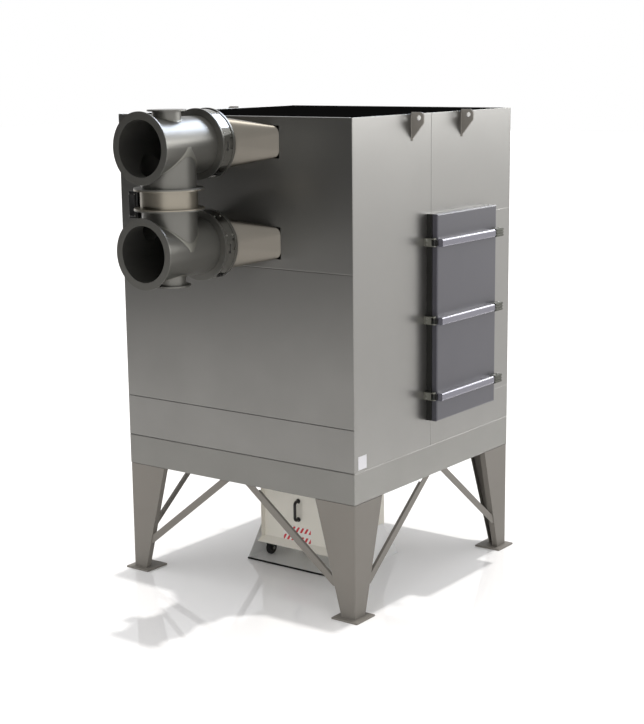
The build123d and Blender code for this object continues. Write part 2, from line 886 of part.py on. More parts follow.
def all_nodes():
    """Every piece by name, laid out about the cabinet's middle."""
    nodes = {}
    nodes.update(front_panels())
    nodes.update(back_panels())
    nodes.update(side_panels())
    nodes["roof_deck"] = roof_deck()
    nodes.update(base_beams())
    nodes.update(hopper())
    nodes["legs"] = legs()
    nodes["foot_plates"] = foot_plates()
    nodes["braces"] = braces()
    nodes["lifting_lugs"] = lifting_lugs()
    nodes["upper_run"] = Pos(0, 0, upper_duct_height) * duct_run()
    nodes["lower_run"] = Pos(0, 0, lower_duct_height) * Rot(0, 180, 0) * duct_run()
    nodes["upper_branch"] = Pos(0, 0, upper_duct_height) * duct_branch()
    nodes["lower_branch"] = Pos(0, 0, lower_duct_height) * Rot(0, 180, 0) * duct_branch()
    nodes["duct_coupling"] = duct_coupling()
    nodes["spigot_caps"] = spigot_caps()
    nodes["collar_rings"] = collar_rings()
    nodes["collar_bands"] = collar_bands()
    nodes["transition_rims"] = transition_rims()
    nodes["upper_transition"] = transition(upper_duct_height)
    nodes["lower_transition"] = transition(lower_duct_height)
    nodes["damper_drive"] = damper_drive()
    nodes["door_frame"] = door_frame()
    nodes["door_leaf"] = door_leaf()
    nodes["door_bars"] = door_bars()
    nodes["bar_clamps"] = bar_clamps()
    nodes["hinge_brackets"] = hinge_brackets()
    nodes["hinge_pins"] = hinge_pins()
    nodes["hinge_knuckles"] = hinge_knuckles()
    nodes["bin_sheets"] = bin_sheets()
    nodes["bin_floor"] = bin_floor()
    nodes["bin_handle"] = bin_handle()
    for name, (x, y) in caster_places().items():
        nodes["caster_fork_" + name] = Pos(x, y, 0) * caster_fork()
        nodes["caster_wheel_" + name] = Pos(x, y, 0) * caster_wheel()
    nodes["docking_tray"] = docking_tray()
    nodes["tray_guides"] = tray_guides()
    return nodes


def write_parts():
    """Writes one STEP file for each piece, moved to the part's origin."""
    os.makedirs("parts", exist_ok=True)
    for name, shape in all_nodes().items():
        solids = [Pos(-origin_x, -origin_y, 0) * solid for solid in shape.solids()]
        placed = solids[0] if len(solids) == 1 else Compound(solids)
        export_step(placed, os.path.join("parts", name + ".step"))


write_parts()
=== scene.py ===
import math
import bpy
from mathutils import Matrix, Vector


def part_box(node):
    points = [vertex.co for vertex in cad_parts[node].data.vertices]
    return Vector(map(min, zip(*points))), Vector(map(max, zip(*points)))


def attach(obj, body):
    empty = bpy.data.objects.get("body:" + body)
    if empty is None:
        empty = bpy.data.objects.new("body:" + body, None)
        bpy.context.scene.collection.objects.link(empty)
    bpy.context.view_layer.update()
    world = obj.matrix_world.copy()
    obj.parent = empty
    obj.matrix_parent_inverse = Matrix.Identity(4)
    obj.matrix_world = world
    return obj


bl_info = {
    "name": "Dust Extractor",
    "version": (1, 0, 0),
    "blender": (4, 5, 0),
    "location": "3D View > Sidebar > Dust Extractor",
    "description": "Models and finishes a free-standing sheet-steel dust extractor round its CAD frame",
    "category": "Add Mesh",
}

import bpy
from mathutils import Matrix, Vector

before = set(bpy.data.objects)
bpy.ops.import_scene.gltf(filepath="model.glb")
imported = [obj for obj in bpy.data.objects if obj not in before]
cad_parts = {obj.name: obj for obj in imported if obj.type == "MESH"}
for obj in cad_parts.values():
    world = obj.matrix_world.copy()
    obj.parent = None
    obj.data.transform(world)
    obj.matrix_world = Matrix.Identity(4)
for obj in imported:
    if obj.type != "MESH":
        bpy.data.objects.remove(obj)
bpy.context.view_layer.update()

# The cabinet's own middle in the shared frame, from the roof deck that lies on it.
roof_low, roof_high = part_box("roof_deck")
cabinet_x = (roof_low.x + roof_high.x) / 2
cabinet_y = (roof_low.y + roof_high.y) / 2


def at(x, y, z):
    """A point given in millimetres from the cabinet's middle at floor level."""
    return Vector((cabinet_x + x / 1000, cabinet_y + y / 1000, z / 1000))


# Modelling helpers


def deselect():
    """Leaves object mode with nothing selected."""
    if bpy.context.object and bpy.context.object.mode != "OBJECT":
        bpy.ops.object.mode_set(mode="OBJECT")
    bpy.ops.object.select_all(action="DESELECT")


def make_active(piece):
    """Selects one piece and nothing else."""
    deselect()
    piece.select_set(True)
    bpy.context.view_layer.objects.active = piece


def settle(piece):
    """Moves a piece's place into its mesh."""
    make_active(piece)
    bpy.ops.object.transform_apply(location=True, rotation=True, scale=True)
    return piece


def start_block(name, low, high):
    """A cube primitive between two corners."""
    deselect()
    bpy.ops.mesh.primitive_cube_add(size=1, location=(low + high) / 2, scale=high - low)
    piece = bpy.context.object
    piece.name = name
    return settle(piece)


def start_round(name, middle, radius, depth, turn=(0, 0, 0), sides=32):
    """A cylinder primitive, turned in degrees."""
    deselect()
    rotation = [math.radians(angle) for angle in turn]
    bpy.ops.mesh.primitive_cylinder_add(
        vertices=sides, radius=radius, depth=depth, location=middle, rotation=rotation
    )
    piece = bpy.context.object
    piece.name = name
    return settle(piece)


def edit_faces(piece, wanted):
    """Opens edit mode with the faces selected whose middle and normal pass the test."""
    make_active(piece)
    for part in (piece.data.vertices, piece.data.edges, piece.data.polygons):
        part.foreach_set("select", [False] * len(part))
    bpy.context.tool_settings.mesh_select_mode = (False, False, True)
    for face in piece.data.polygons:
        face.select = wanted(face.center, face.normal)
    bpy.ops.object.mode_set(mode="EDIT")


def inset(width, depth=0.0):
    """Insets the selected faces, then sinks them when a depth is given."""
    bpy.ops.mesh.inset(thickness=width, depth=depth)


def leave_edit():
    """Back to object mode."""
    bpy.ops.object.mode_set(mode="OBJECT")


def apply_modifier(piece, kind, **settings):
    """Adds a modifier and applies it at once."""
    make_active(piece)
    modifier = piece.modifiers.new(kind.title(), kind)
    for key, value in settings.items():
        setattr(modifier, key, value)
    bpy.ops.object.modifier_apply(modifier=modifier.name)


def soften(piece, width, segments=2):
    """Rounds the sharp edges and shades the rest smooth."""
    apply_modifier(
        piece, "BEVEL", width=width, segments=segments, limit_method="ANGLE", angle_limit=math.radians(35)
    )
    make_active(piece)
    bpy.ops.object.shade_smooth_by_angle(angle=math.radians(35))


def outward(piece):
    """Merges doubles and turns every face outwards."""
    make_active(piece)
    bpy.ops.object.mode_set(mode="EDIT")
    bpy.ops.mesh.select_all(action="SELECT")
    bpy.ops.mesh.remove_doubles(threshold=0.00002)
    bpy.ops.mesh.normals_make_consistent(inside=False)
    leave_edit()


def copy_of(piece, name, move):
    """A copy with its own mesh, moved by a matrix."""
    twin = piece.copy()
    twin.data = piece.data.copy()
    twin.name = name
    twin.data.transform(move)
    bpy.context.scene.collection.objects.link(twin)
    return twin


def joined(name, pieces):
    """Several meshes joined into the first."""
    deselect()
    for piece in pieces:
        piece.select_set(True)
    bpy.context.view_layer.objects.active = pieces[0]
    bpy.ops.object.join()
    pieces[0].name = name
    return pieces[0]


def dress(piece, body, slot, *finishes):
    """Gives a finished piece its material and the body that it rides on."""
    piece.data.materials.clear()
    for finish in finishes:
        piece.data.materials.append(finish)
    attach(piece, body)
    return piece


# Material helpers


def linear(code):
    """An sRGB hex colour as linear RGBA."""
    channels = [int(code[i:i + 2], 16) / 255 for i in (1, 3, 5)]
    return [c / 12.92 if c <= 0.04045 else ((c + 0.055) / 1.055) ** 2.4 for c in channels] + [1.0]


def add_node(tree, kind, settings=None, links=None):
    """Adds one node, sets its sockets or properties and links its inputs."""
    node = tree.nodes.new(kind)
    for key, value in (settings or {}).items():
        if isinstance(key, int):
            node.inputs[key].default_value = value
        elif key in node.inputs:
            node.inputs[key].default_value = value
        else:
            setattr(node, key, value)
    for key, socket in (links or {}).items():
        tree.links.new(socket, node.inputs[key])
    return node


def new_material(name):
    """An empty node material."""
    made = bpy.data.materials.new(name)
    made.use_nodes = True
    made.node_tree.nodes.clear()
    return made, made.node_tree


def output(tree, shader):
    """Links a shader to the surface."""
    add_node(tree, "ShaderNodeOutputMaterial", links={"Surface": shader.outputs[0]})


def powder_coat(name, colour, cloud_colour, roughness, metallic=0.0, edge="#B9B6AE", sheen=0.5):
    """Powder-coated sheet. The eye sees a faint orange peel, a cloudy gloss and lighter rubbed edges,
    which on the tray guides are painted highlight.
    """
    made, tree = new_material(name)
    place = add_node(tree, "ShaderNodeTexCoord").outputs["Object"]
    # Clouds a hand's breadth to half a metre wide, as film thickness and wiping leave them.
    cloud = add_node(
        tree, "ShaderNodeTexNoise", {"Scale": 2.4, "Detail": 4.0, "Roughness": 0.55}, {"Vector": place}
    )
    tone = add_node(
        tree, "ShaderNodeMix", {"data_type": "RGBA", 6: linear(colour), 7: linear(cloud_colour)},
        {0: cloud.outputs[0]},
    )
    # Rubbed edges, and on the tray guides painted highlight: where a 3 mm rounded normal leaves the flat
    # one.
    rounded = add_node(tree, "ShaderNodeBevel", {"samples": 4, "Radius": 0.003})
    flat = add_node(tree, "ShaderNodeNewGeometry")
    turn = add_node(
        tree, "ShaderNodeVectorMath", {"operation": "DOT_PRODUCT"},
        {0: rounded.outputs[0], 1: flat.outputs["Normal"]},
    )
    edge_breakup = add_node(tree, "ShaderNodeTexNoise", {"Scale": 45.0, "Detail": 5.0}, {"Vector": place})
    near_edge = add_node(
        tree, "ShaderNodeMapRange", {"From Min": 0.985, "From Max": 0.86, "To Min": 0.0, "To Max": 0.55},
        {"Value": turn.outputs["Value"]},
    )
    wear_and_highlight = add_node(
        tree, "ShaderNodeMath", {"operation": "MULTIPLY"}, {0: near_edge.outputs[0], 1: edge_breakup.outputs[0]}
    )
    paint = add_node(
        tree, "ShaderNodeMix", {"data_type": "RGBA", 7: linear(edge)},
        {0: wear_and_highlight.outputs[0], 6: tone.outputs[2]},
    )
    gloss = add_node(
        tree, "ShaderNodeMapRange", {"To Min": roughness - 0.05, "To Max": roughness + 0.05},
        {"Value": cloud.outputs[0]},
    )
    # Orange peel is up to 6 mm from crest to crest.
    skin = add_node(tree, "ShaderNodeTexNoise", {"Scale": 1 / 0.006, "Detail": 1.0}, {"Vector": place})
    bump = add_node(
        tree, "ShaderNodeBump", {"Strength": 0.05, "Distance": 0.0006},
        {"Height": skin.outputs[0], "Normal": rounded.outputs[0]},
    )
    shader = add_node(
        tree, "ShaderNodeBsdfPrincipled", {"Metallic": metallic, "IOR": 1.5, "Specular IOR Level": sheen},
        {"Base Color": paint.outputs[2], "Roughness": gloss.outputs[0], "Normal": bump.outputs[0]},
    )
    output(tree, shader)
    return made


def rolled_steel(name, colour, cloud_colour, roughness, grain=(1, 1, 1), relief=0.06, metallic=1.0):
    """Lacquered rolled steel. The eye sees fine mill lines, a soft sheen and cloudy grey patches."""
    made, tree = new_material(name)
    place = add_node(tree, "ShaderNodeTexCoord").outputs["Object"]
    # Clouds about a third of a metre wide, from the mill and from the lacquer.
    cloud = add_node(
        tree, "ShaderNodeTexNoise", {"Scale": 3.0, "Detail": 3.0, "Roughness": 0.5}, {"Vector": place}
    )
    tone = add_node(
        tree, "ShaderNodeMix", {"data_type": "RGBA", 6: linear(colour), 7: linear(cloud_colour)},
        {0: cloud.outputs[0]},
    )
    # Mill lines a millimetre apart, drawn 4 mm apart so that they show, and stretched along the sheet.
    stretched = add_node(tree, "ShaderNodeMapping", {"Scale": grain}, {"Vector": place})
    lines = add_node(
        tree, "ShaderNodeTexNoise", {"Scale": 250.0, "Detail": 2.0}, {"Vector": stretched.outputs[0]}
    )
    rounded = add_node(tree, "ShaderNodeBevel", {"samples": 4, "Radius": 0.002})
    bump = add_node(
        tree, "ShaderNodeBump", {"Strength": relief, "Distance": 0.0004},
        {"Height": lines.outputs[0], "Normal": rounded.outputs[0]},
    )
    gloss = add_node(
        tree, "ShaderNodeMapRange", {"To Min": roughness - 0.03, "To Max": roughness + 0.03},
        {"Value": cloud.outputs[0]},
    )
    shader = add_node(
        tree, "ShaderNodeBsdfPrincipled", {"Metallic": metallic},
        {"Base Color": tone.outputs[2], "Roughness": gloss.outputs[0], "Normal": bump.outputs[0]},
    )
    output(tree, shader)
    return made


def moulded_plastic(name, colour, roughness):
    """Moulded ABS or rubber. The eye sees a fine spark-eroded grain and a dusty bloom on the black."""
    made, tree = new_material(name)
    place = add_node(tree, "ShaderNodeTexCoord").outputs["Object"]
    dust = add_node(tree, "ShaderNodeTexNoise", {"Scale": 18.0, "Detail": 5.0}, {"Vector": place})
    tone = add_node(
        tree, "ShaderNodeMix", {"data_type": "RGBA", 6: linear(colour), 7: linear("#3A3936")},
        {0: add_node(
            tree, "ShaderNodeMapRange", {"From Min": 0.5, "From Max": 0.9, "To Max": 0.35},
            {"Value": dust.outputs[0]},
        ).outputs[0]},
    )
    # The mould's grain, finer than 1 mm, is drawn 1.5 mm wide so that it shows.
    grain = add_node(tree, "ShaderNodeTexVoronoi", {"Scale": 1 / 0.0015}, {"Vector": place})
    rounded = add_node(tree, "ShaderNodeBevel", {"samples": 4, "Radius": 0.002})
    bump = add_node(
        tree, "ShaderNodeBump", {"Strength": 0.1, "Distance": 0.0002},
        {"Height": grain.outputs["Distance"], "Normal": rounded.outputs[0]},
    )
    gloss = add_node(
        tree, "ShaderNodeMapRange", {"To Min": roughness - 0.06, "To Max": roughness + 0.1},
        {"Value": dust.outputs[0]},
    )
    shader = add_node(
        tree, "ShaderNodeBsdfPrincipled", {"IOR": 1.5},
        {"Base Color": tone.outputs[2], "Roughness": gloss.outputs[0], "Normal": bump.outputs[0]},
    )
    output(tree, shader)
    return made


def striped_plate(name):
    """Printed plate. The eye sees slanting red and white bands 20 mm wide, slightly faded and glossy."""
    made, tree = new_material(name)
    place = add_node(tree, "ShaderNodeTexCoord").outputs["Object"]
    split = add_node(tree, "ShaderNodeSeparateXYZ", links={0: place})
    slant = add_node(tree, "ShaderNodeMath", {"operation": "MULTIPLY", 1: -0.6}, {0: split.outputs["Z"]})
    along = add_node(
        tree, "ShaderNodeMath", {"operation": "ADD"}, {0: split.outputs["X"], 1: slant.outputs[0]}
    )
    step = add_node(tree, "ShaderNodeMath", {"operation": "MULTIPLY", 1: 1 / 0.04}, {0: along.outputs[0]})
    part = add_node(tree, "ShaderNodeMath", {"operation": "FRACT"}, {0: step.outputs[0]})
    band = add_node(tree, "ShaderNodeMath", {"operation": "GREATER_THAN", 1: 0.5}, {0: part.outputs[0]})
    fade = add_node(tree, "ShaderNodeTexNoise", {"Scale": 30.0, "Detail": 3.0}, {"Vector": place})
    red = add_node(
        tree, "ShaderNodeMix", {"data_type": "RGBA", 6: linear("#C8202C"), 7: linear("#D5434B")},
        {0: fade.outputs[0]},
    )
    ink = add_node(
        tree, "ShaderNodeMix", {"data_type": "RGBA", 6: linear("#F2F0EA")},
        {0: band.outputs[0], 7: red.outputs[2]},
    )
    gloss = add_node(
        tree, "ShaderNodeMapRange", {"To Min": 0.25, "To Max": 0.4}, {"Value": fade.outputs[0]}
    )
    grain = add_node(
        tree, "ShaderNodeBump", {"Strength": 0.04, "Distance": 0.0003}, {"Height": fade.outputs[0]}
    )
    shader = add_node(
        tree, "ShaderNodeBsdfPrincipled", {"IOR": 1.45},
        {"Base Color": ink.outputs[2], "Roughness": gloss.outputs[0], "Normal": grain.outputs[0]},
    )
    output(tree, shader)
    return made


finishes = {}


def finish(name):
    """The material of that name, made on its first use."""
    if name not in finishes:
        finishes[name] = MATERIALS[name](name)
    return finishes[name]


def chosen():
    """The colours that the user may change."""
    return bpy.context.scene.extractor_colours


MATERIALS = {
    # Polyester powder with metal flake: the walls mirror softly, bright low down and darker above.
    "cabinet_powder_coat": lambda name: powder_coat(
        name, chosen().cabinet, "#807F7C", 0.3, 0.9
    ),
    # The same powder laid on thicker over the beams, so they mirror less.
    "skirt_powder_coat": lambda name: powder_coat(name, "#82817D", "#7B7A76", 0.38, 0.6),
    # Plain epoxy powder: warm grey with hardly any shine.
    "leg_powder_coat": lambda name: powder_coat(name, "#7D7973", "#75716B", 0.55, sheen=0.15),
    # Near black and dull, with no shine at all.
    "roof_black_matt": lambda name: powder_coat(
        name, "#0B0B0B", "#080808", 0.95, edge="#101010", sheen=0.0
    ),
    # Epoxy powder on the hopper, which is always in shade: a plain mid grey.
    "hopper_powder_coat": lambda name: powder_coat(name, "#6A6861", "#605E57", 0.5, 0.5),
    # Rolled steel under lacquer, which scatters a little and keeps the dark sides from going black.
    "duct_rolled_steel": lambda name: rolled_steel(
        name, "#75746F", "#6D6C68", 0.38, (1, 0.05, 1), 0.02, 0.85
    ),
    # Warmer rolled sheet: broad soft highlights along the flats.
    "transition_rolled_steel": lambda name: rolled_steel(
        name, "#7C776F", "#747068", 0.42, (1, 0.05, 1), 0.02
    ),
    # Brighter rolled sheet round the coupling: a pale band with darker sides.
    "coupling_rolled_steel": lambda name: rolled_steel(
        name, "#979185", "#8F897E", 0.36, (1, 1, 0.05), 0.02
    ),
    # Weld metal as laid: rougher than the pipe beside it.
    "flange_rolled_steel": lambda name: rolled_steel(name, "#8A8982", "#7E7D76", 0.5),
    # Polished steel drum: sharp highlights beside near black.
    "collar_polished_steel": lambda name: rolled_steel(
        name, "#8F8E89", "#858480", 0.1, (1, 0.05, 1)
    ),
    # Near black with a thin gleam: on the door frame and hinge knuckles, which fill the dark strips beside
    # the leaf, and on the collar toggles.
    "near_black_gloss": lambda name: powder_coat(
        name, "#1C1C1A", "#141412", 0.3, 0.2, edge="#3A3A37"
    ),
    # Blue-grey epoxy powder: even and soft, with pale rubbed edges.
    "door_powder_coat": lambda name: powder_coat(
        name, chosen().door, "#403F46", 0.34, 0.05, edge="#A5A4AE"
    ),
    # Powder with metal flake: a bright line along each bar's upper edge.
    "bar_powder_coat": lambda name: powder_coat(
        name, "#75747D", "#6E6D76", 0.22, 0.5, edge="#C4C3CC"
    ),
    # Electroplated zinc: dull silver on the brackets.
    "bracket_zinc": lambda name: rolled_steel(name, "#8A8A82", "#7C7C74", 0.42, metallic=0.8),
    # Olive-chromated zinc: dark and greenish on the clamps.
    "clamp_zinc": lambda name: rolled_steel(name, "#4E4E48", "#45453F", 0.45),
    # Bright zinc on screws, nuts and rivets: small sharp glints.
    "bolt_zinc": lambda name: rolled_steel(name, "#A3A39C", "#8B8B84", 0.32),
    # Moulded ABS: near black, faintly grained.
    "drive_abs": lambda name: moulded_plastic(name, "#0B0B0B", 0.35),
    # Moulded rubber: matt black. On the keyholes and on the strip before the tray it is painted shade.
    "black_rubber_and_shade": lambda name: moulded_plastic(name, "#101010", 0.65),
    # Moulded polyamide: black with a soft gleam.
    "handle_polyamide": lambda name: moulded_plastic(name, "#101010", 0.3),
    # Solid rubber tyre: matt and dusty.
    "tyre_rubber": lambda name: moulded_plastic(name, "#151515", 0.6),
    # Black zinc on pressed forks: dark, with paler worn edges.
    "caster_black_zinc": lambda name: powder_coat(
        name, "#3A3A38", "#2C2C2A", 0.3, 0.7, edge="#77756F"
    ),
    # Cream epoxy powder: a pale satin sheet, grey where it rubs.
    "bin_powder_coat": lambda name: powder_coat(
        name, chosen().bin, "#E8E4D9", 0.4, 0.0, edge="#A8A59D"
    ),
    # Epoxy powder painted near white, far paler than the tray's own mid grey: painted light for the light
    # that does not reach it under the bin. It shows soft reflections of the bin.
    "tray_coat_painted_light": lambda name: powder_coat(
        name, "#F4F4F3", "#EAEAE9", 0.22, 0.0, edge="#F2F2F1"
    ),
    # Powder with a little flake, painted near white as painted reflection on the faces, and whiter at the
    # edges as painted highlight.
    "guide_coat_painted_light": lambda name: powder_coat(
        name, "#E6E6E5", "#DCDCDB", 0.3, 0.1, edge="#FAFAFA"
    ),
    # Enamelled aluminium plate: cool light grey.
    "plate_enamel": lambda name: powder_coat(name, "#CFCED2", "#C4C3C7", 0.3, 0.0, edge="#F4F4F4"),
    # White enamel under the stripes.
    "label_enamel": lambda name: powder_coat(name, "#F1EFEA", "#E8E6E1", 0.3, 0.0, edge="#F8F8F6"),
    # Screen print, slightly faded: red and white bands.
    "stripe_print": lambda name: striped_plate(name),
}

# Which finish each carried-over CAD node shows.
NODE_FINISHES = {
    "cabinet_powder_coat": (
        "front_panel_lower", "front_panel_middle", "front_panel_upper",
        "back_panel_lower", "back_panel_middle", "back_panel_upper",
        "door_wall_front", "door_wall_below", "door_wall_above", "door_wall_beside",
        "left_wall_front", "left_wall_rear",
    ),
    "skirt_powder_coat": ("front_beam", "back_beam", "left_beam", "right_beam"),
    "leg_powder_coat": ("legs", "foot_plates", "braces", "lifting_lugs"),
    "roof_black_matt": ("roof_deck",),
    "hopper_powder_coat": ("hopper_sheets", "hopper_outlet"),
    "duct_rolled_steel": (
        "upper_run", "lower_run", "upper_branch", "lower_branch",
        "spigot_caps", "collar_rings", "transition_rims",
    ),
    "transition_rolled_steel": ("upper_transition", "lower_transition"),
    "coupling_rolled_steel": ("duct_coupling",),
    "collar_polished_steel": ("collar_bands",),
    "near_black_gloss": ("door_frame", "hinge_knuckles"),
    "door_powder_coat": ("door_leaf",),
    "bar_powder_coat": ("door_bars",),
    "bracket_zinc": ("hinge_brackets", "hinge_pins"),
    "clamp_zinc": ("bar_clamps",),
    "drive_abs": ("damper_drive",),
    "handle_polyamide": ("bin_handle",),
    "tyre_rubber": (
        "caster_wheel_front_left", "caster_wheel_front_right",
        "caster_wheel_rear_left", "caster_wheel_rear_right",
    ),
    "caster_black_zinc": (
        "caster_fork_front_left", "caster_fork_front_right",
        "caster_fork_rear_left", "caster_fork_rear_right",
    ),
    "bin_powder_coat": ("bin_sheets", "bin_floor"),
    "tray_coat_painted_light": ("docking_tray",),
    "guide_coat_painted_light": ("tray_guides",),
}

# Places on the CAD parts, in millimetres from the cabinet's middle.
upper_axis = 3150
lower_axis = 2490
branch_middle = -1606
collar_middle = -1270
rating_plate_corner = (1000, -956, 1034)
bar_heights = (1388, 1918, 2454)
caster_places = {
    "front_left": (-338, -228), "front_right": (338, -228),
    "rear_left": (-338, 228), "rear_right": (338, 228),
}

# Outer radii of the pipes and of the collar drum with its screws' seat, in metres.
run_radius = 0.183
branch_radius = 0.178
spigot_radius = 0.0925
drum_radius = 0.2238

# How far a cutting tool stays inside the pipe's skin, so that the bead sinks into it.
skin_overlap = 0.0002


# Pieces that the scene adds


def hex_bolt(name, size, head):
    """A chamfered hexagon head on a washer, standing along Z on its underside."""
    washer = start_round(name + "_washer", Vector((0, 0, head * 0.12)), size * 1.35, head * 0.24, sides=20)
    soften(washer, head * 0.06, 1)
    cap = start_round(name, Vector((0, 0, head * 0.62)), size, head * 0.76, sides=6)
    edit_faces(cap, lambda middle, normal: normal.z > 0.9)
    inset(size * 0.16, size * 0.07)
    bpy.ops.mesh.inset(thickness=size * 0.3, depth=-size * 0.06)
    leave_edit()
    soften(cap, size * 0.05, 1)
    return joined(name, [cap, washer])


def spread(name, pattern, places):
    """Copies of a pattern piece at every place, joined, the pattern itself removed."""
    copies = [copy_of(pattern, name, place) for place in places]
    bpy.data.objects.remove(pattern)
    return joined(name, copies)


def facing(direction):
    """The turn that lays +Z along one axis of the frame."""
    return Vector(direction).to_track_quat("Z", "Y").to_matrix().to_4x4()


def weld_bead(name, length, radius):
    """A straight rippled bead along Z, its foot at zero."""
    bead = start_round(name, Vector((0, 0, length / 2)), radius, length, sides=10)
    make_active(bead)
    bpy.ops.object.mode_set(mode="EDIT")
    ripple = radius * 1.2
    for step in range(1, int(length / ripple)):
        bpy.ops.mesh.select_all(action="SELECT")
        bpy.ops.mesh.bisect(plane_co=(0, 0, step * ripple), plane_no=(0, 0, 1))
    bpy.ops.mesh.select_all(action="SELECT")
    bpy.ops.transform.vertex_random(offset=radius * 0.25, uniform=0.2, normal=0.6, seed=3)
    leave_edit()
    make_active(bead)
    bpy.ops.object.shade_smooth_by_angle(angle=math.radians(60))
    return bead


def solid_cut(piece, tool, operation):
    """Combines a piece with a tool by an exact boolean and removes the tool."""
    apply_modifier(piece, "BOOLEAN", object=tool, operation=operation, solver="EXACT")
    bpy.data.objects.remove(tool)
    return piece


class StageSettings(bpy.types.PropertyGroup):
    """Camera, floor and lights."""

    camera_place: bpy.props.FloatVectorProperty(
        name="Camera place", description="Camera position from the cabinet's middle",
        subtype="TRANSLATION", default=(6.53075, -8.8225, 3.683),
    )
    camera_turn: bpy.props.FloatVectorProperty(
        name="Camera turn", description="The camera's rotation in degrees",
        default=(78.7037, 0.6366, 36.3505),
    )
    camera_lens: bpy.props.FloatProperty(
        name="Lens", description="Focal length", default=75.5, unit="CAMERA",
    )
    floor_size: bpy.props.FloatProperty(
        name="Floor size", description="Side of the square floor", default=120.0, unit="LENGTH",
    )
    key_strength: bpy.props.FloatProperty(
        name="Key light", description="Strength of the key from high above and a little behind",
        default=1.6, min=0.0,
    )
    overhead_power: bpy.props.FloatProperty(
        name="Overhead light", description="Power of the softbox over the back",
        default=600.0, unit="POWER",
    )
    side_power: bpy.props.FloatProperty(
        name="Side light", description="Power of the softbox on the door's side",
        default=1150.0, unit="POWER",
    )
    rim_power: bpy.props.FloatProperty(
        name="Rim light", description="Power of the low softbox behind, for upper edges",
        default=420.0, unit="POWER",
    )
    fill: bpy.props.FloatProperty(
        name="Fill", description="Strength of the room's own light on surfaces", default=1.0, min=0.0,
    )
    floor_shine: bpy.props.FloatProperty(
        name="Floor shine", description="Share of mirror in the polished floor",
        default=0.13, min=0.0, max=1.0,
    )


def area_light(name, place, target, width, height, power, colour):
    """A softbox that looks at a target."""
    deselect()
    bpy.ops.object.light_add(type="AREA", location=place)
    lamp = bpy.context.object
    lamp.name = name
    lamp.data.shape = "RECTANGLE"
    lamp.data.size = width
    lamp.data.size_y = height
    lamp.data.energy = power
    lamp.data.color = linear(colour)[:3]
    lamp.rotation_euler = (Vector(target) - Vector(place)).to_track_quat("-Z", "Y").to_euler()
    return lamp


class EXTRACTOR_OT_stage(bpy.types.Operator):
    """Camera, pale floor, white room, key light, softboxes and a dark flag"""

    bl_idname = "extractor.stage"
    bl_label = "Stage"

    def execute(self, context):
        settings = context.scene.extractor_stage
        deselect()
        place = Vector(settings.camera_place) * 1000
        bpy.ops.object.camera_add(
            location=at(*place), rotation=[math.radians(turn) for turn in settings.camera_turn]
        )
        camera = context.object
        camera.data.lens = settings.camera_lens
        camera.data.sensor_width = 36
        context.scene.camera = camera
        context.scene.view_settings.view_transform = "Standard"

        deselect()
        bpy.ops.mesh.primitive_plane_add(size=settings.floor_size, location=(0, 0, 0))
        floor = context.object
        floor.name = "floor"
        made, tree = new_material("polished_screed")
        pale = add_node(tree, "ShaderNodeBsdfDiffuse", {"Color": linear("#F6F5F5")})
        polish = add_node(tree, "ShaderNodeBsdfGlossy", {"Color": linear("#FFFFFF"), "Roughness": 0.04})
        both = add_node(
            tree, "ShaderNodeMixShader", {0: settings.floor_shine},
            {1: pale.outputs[0], 2: polish.outputs[0]},
        )
        output(tree, both)
        floor.data.materials.append(made)

        # A dark flag nearly 12 m off. Only metal that faces it mirrors it, and the camera never sees it.
        deselect()
        bpy.ops.mesh.primitive_plane_add(
            size=1, location=(-7.1, -9.4, 8.0), rotation=(math.radians(90), 0, math.radians(-40))
        )
        flag = context.object
        flag.name = "dark_flag"
        flag.scale = (30.0, 16.0, 1.0)
        made, tree = new_material("flag_cloth")
        output(tree, add_node(tree, "ShaderNodeBsdfDiffuse", {"Color": linear("#141413")}))
        flag.data.materials.append(made)
        flag.visible_camera = False
        flag.visible_shadow = False
        flag.visible_diffuse = False

        room = context.scene.world or bpy.data.worlds.new("room")
        context.scene.world = room
        room.use_nodes = True
        tree = room.node_tree
        tree.nodes.clear()
        # The camera, metal and glass see plain white; the fill only sets how brightly the room lights.
        rays = add_node(tree, "ShaderNodeLightPath")
        seen = add_node(
            tree, "ShaderNodeMath", {"operation": "MAXIMUM"},
            {0: rays.outputs["Is Camera Ray"], 1: rays.outputs["Is Glossy Ray"]},
        )
        seen = add_node(
            tree, "ShaderNodeMath", {"operation": "MAXIMUM"},
            {0: seen.outputs[0], 1: rays.outputs["Is Transmission Ray"]},
        )
        strength = add_node(tree, "ShaderNodeMix", {2: settings.fill, 3: 1.0}, {0: seen.outputs[0]})
        back = add_node(
            tree, "ShaderNodeBackground", {"Color": linear("#FFFFFF")}, {"Strength": strength.outputs[0]}
        )
        add_node(tree, "ShaderNodeOutputWorld", links={"Surface": back.outputs[0]})

        deselect()
        bpy.ops.object.light_add(type="SUN", location=(4, 5, 9))
        key = context.object
        key.name = "key_light"
        key.data.energy = settings.key_strength
        key.data.angle = math.radians(1.5)
        key.data.color = linear("#FFFDFA")[:3]
        key.rotation_euler = Vector((0.0, -0.075, -1.0)).to_track_quat("-Z", "Y").to_euler()

        # Paint gets its light from the key and the room. The softboxes are there for what metal mirrors.
        overhead = area_light(
            "overhead_softbox", (0.6, 5.6, 8.4), (0, -1.2, 3.0), 5.5, 2.4,
            settings.overhead_power, "#DCE8FF",
        )
        overhead.visible_diffuse = False
        side = area_light(
            "side_softbox", (9.4, 12.0, 5.6), (1, 0.4, 2.8), 12.0, 4.0, settings.side_power, "#FFFFFF"
        )
        side.visible_diffuse = False
        # The rim softbox draws the bright upper edges of the door and its bars.
        rim = area_light(
            "rim_softbox", (1.9, 9.4, 7.0), (1.1, 0.2, 2.2), 5.0, 2.2, settings.rim_power, "#FFFFFF"
        )
        rim.visible_diffuse = False
        return {"FINISHED"}


